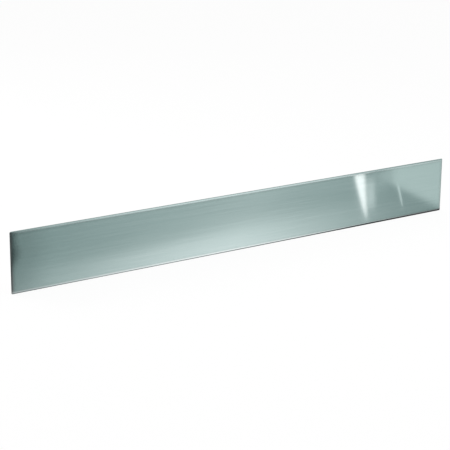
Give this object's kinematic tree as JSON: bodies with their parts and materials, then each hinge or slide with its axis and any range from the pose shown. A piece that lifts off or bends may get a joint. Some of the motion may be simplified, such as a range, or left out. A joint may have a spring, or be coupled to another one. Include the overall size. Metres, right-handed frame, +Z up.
{
  "type": "kick plate",
  "caption": "Flat satin stainless kick plate with rounded-over edges, held to the foot of a door by foam mounting tape on its back.",
  "frame": {"origin": "middle of the plane that meets the door: the outer face of the release liners, half way along the plate and half way up it", "axes": "+X along the plate to the right as seen from the front, +Y out of the back into the door, +Z up"},
  "size_m": [0.9, 0.0027, 0.1],
  "materials": {
    "satin_steel": "satin, brushed along the length",
    "foam_tape": "matt closed-cell foam",
    "release_film": "thin semi-gloss film"
  },
  "bodies": {
    "root": {"face_plate": "satin_steel", "top_tape": "foam_tape", "bottom_tape": "foam_tape", "left_end_tape": "foam_tape", "left_cross_tape": "foam_tape", "centre_cross_tape": "foam_tape", "right_cross_tape": "foam_tape", "right_end_tape": "foam_tape", "top_liner": "release_film", "bottom_liner": "release_film", "left_end_liner": "release_film", "left_cross_liner": "release_film", "centre_cross_liner": "release_film", "right_cross_liner": "release_film", "right_end_liner": "release_film"}
  },
  "joints": []
}
